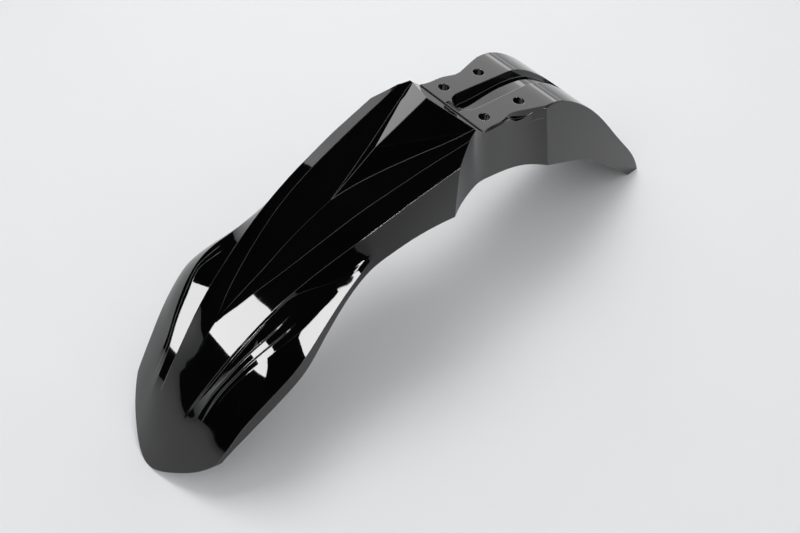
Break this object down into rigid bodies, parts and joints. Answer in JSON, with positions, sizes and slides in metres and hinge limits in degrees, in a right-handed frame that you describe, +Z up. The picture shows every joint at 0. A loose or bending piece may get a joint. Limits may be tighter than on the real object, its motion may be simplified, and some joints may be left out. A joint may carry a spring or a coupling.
{
  "type": "motorcycle front mudguard",
  "caption": "Long moulded front mudguard for an off-road motorcycle: creased nose with side wings, arrowhead roof, flat mounting pad with bolt holes and a curved tail.",
  "frame": {"origin": "on the floor plane, in the middle of the part's length and width; the front pair of bolt holes is 90 mm behind it", "axes": "+X towards the left side of the motorcycle, +Y rearwards along the part, +Z up; the nose points to -Y"},
  "size_m": [0.2056, 0.8021, 0.3116],
  "materials": {
    "shell": "gloss"
  },
  "bodies": {
    "root": {"mudguard": "shell"}
  },
  "joints": []
}
